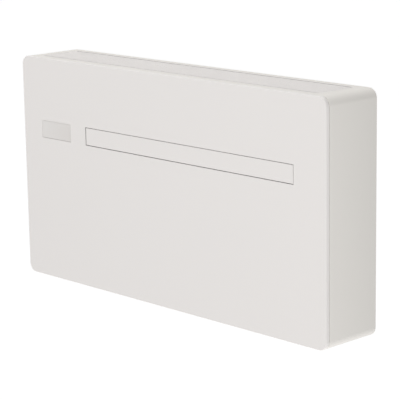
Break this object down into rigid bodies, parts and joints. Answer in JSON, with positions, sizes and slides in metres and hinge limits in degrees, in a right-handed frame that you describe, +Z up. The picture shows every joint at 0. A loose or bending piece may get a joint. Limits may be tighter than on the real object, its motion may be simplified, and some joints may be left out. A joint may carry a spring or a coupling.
{
  "type": "wall-mounted monobloc air conditioner",
  "caption": "Shallow white wall cabinet with rounded corners, a long flush outlet flap, a small display window, a slatted top intake and two rear duct collars.",
  "frame": {"origin": "middle of the rear face, on the wall plane", "axes": "+X to the viewer's right, +Y into the wall, +Z up; the front faces -Y"},
  "size_m": [1.01, 0.165, 0.549],
  "materials": {
    "case_white": "satin white powder coat",
    "panel_white": "fine satin moulding",
    "display_grey": "smooth tinted window",
    "circuit_board": "lacquered board",
    "natural_plastic": "unpainted moulding",
    "black_plastic": "fine grain",
    "filter_mesh": "open weave",
    "galvanised_sheet": "zinc spangle",
    "bright_steel": "ground",
    "fin_aluminium": "thin rolled fins",
    "coil_copper": "drawn copper",
    "valve_brass": "turned",
    "black_enamel": "gloss enamel",
    "grey_foam": "closed-cell foam",
    "black_rubber": "moulded",
    "pale_foam": "insulated sheet",
    "motor_shell": "moulded resin"
  },
  "bodies": {
    "chassis": {"front_panel": "panel_white", "case_shell": "case_white", "casing_screws": "bright_steel", "panel_clips": "natural_plastic", "display_window": "display_grey", "display_board": "circuit_board", "flap_bushes": "natural_plastic", "flap_motor": "galvanised_sheet", "outlet_frame": "black_plastic", "outlet_guard": "black_plastic", "grille_rails": "galvanised_sheet", "rear_chassis": "galvanised_sheet", "wall_bracket": "galvanised_sheet", "wall_seal": "grey_foam", "duct_collars": "black_plastic", "base_pan": "galvanised_sheet", "drain_spout": "black_plastic", "cable_gland": "black_plastic", "bulkhead": "pale_foam", "compressor_partition": "galvanised_sheet", "fan_scroll": "pale_foam", "vortex_tongue": "pale_foam", "fan_end_plates": "pale_foam", "crossflow_bearing": "black_rubber", "crossflow_motor": "motor_shell", "crossflow_motor_clamp": "natural_plastic", "evaporator_fins": "fin_aluminium", "evaporator_end_plates": "galvanised_sheet", "evaporator_tubes": "coil_copper", "condenser_fins": "fin_aluminium", "condenser_end_plates": "galvanised_sheet", "condenser_tubes": "coil_copper", "condensate_tray": "pale_foam", "condensate_hose": "black_rubber", "outdoor_scroll": "pale_foam", "radial_fan_motor": "motor_shell", "radial_fan_bridge": "galvanised_sheet", "compressor": "black_enamel", "compressor_feet": "black_rubber", "accumulator": "black_enamel", "reversing_valve": "valve_brass", "discharge_pipe": "coil_copper", "suction_pipe": "coil_copper", "refrigerant_lines": "coil_copper", "expansion_valve": "valve_brass", "electrical_box": "galvanised_sheet", "electrical_lid": "galvanised_sheet", "inverter_board": "circuit_board", "heat_sink": "fin_aluminium"},
    "flap": {"outlet_flap": "panel_white", "flap_hinge_pins": "bright_steel", "flap_gear": "natural_plastic"},
    "flap_drive": {"flap_pinion": "natural_plastic"},
    "crossflow_rotor": {"crossflow_fan": "black_plastic", "crossflow_shafts": "bright_steel"},
    "radial_rotor": {"radial_fan": "black_plastic", "radial_fan_shaft": "bright_steel"},
    "grille": {"top_grille": "panel_white", "filter_frames": "black_plastic", "filter_meshes": "filter_mesh"}
  },
  "joints": [
    {"name": "flap_hinge", "type": "hinge", "parent": "chassis", "child": "flap", "pos_m": [0, -0.1608, 0.0823], "axis": [1, 0, 0], "range_deg": [0, 75]},
    {"name": "pinion_spin", "type": "hinge", "parent": "chassis", "child": "flap_drive", "pos_m": [0, -0.1308, 0.0823], "axis": [1, 0, 0], "range_deg": [-300, 0]},
    {"name": "crossflow_spin", "type": "hinge", "parent": "chassis", "child": "crossflow_rotor", "pos_m": [0, -0.088, 0.1279], "axis": [1, 0, 0], "continuous": true},
    {"name": "radial_spin", "type": "hinge", "parent": "chassis", "child": "radial_rotor", "pos_m": [-0.1465, 0, -0.16], "axis": [0, 1, 0], "continuous": true},
    {"name": "grille_lift", "type": "slide", "parent": "chassis", "child": "grille", "axis": [0, 0, 1], "range_m": [0, 0.06]}
  ],
  "couplings": [
    {"joint": "pinion_spin", "follows": "flap_hinge", "ratio": -4}
  ]
}
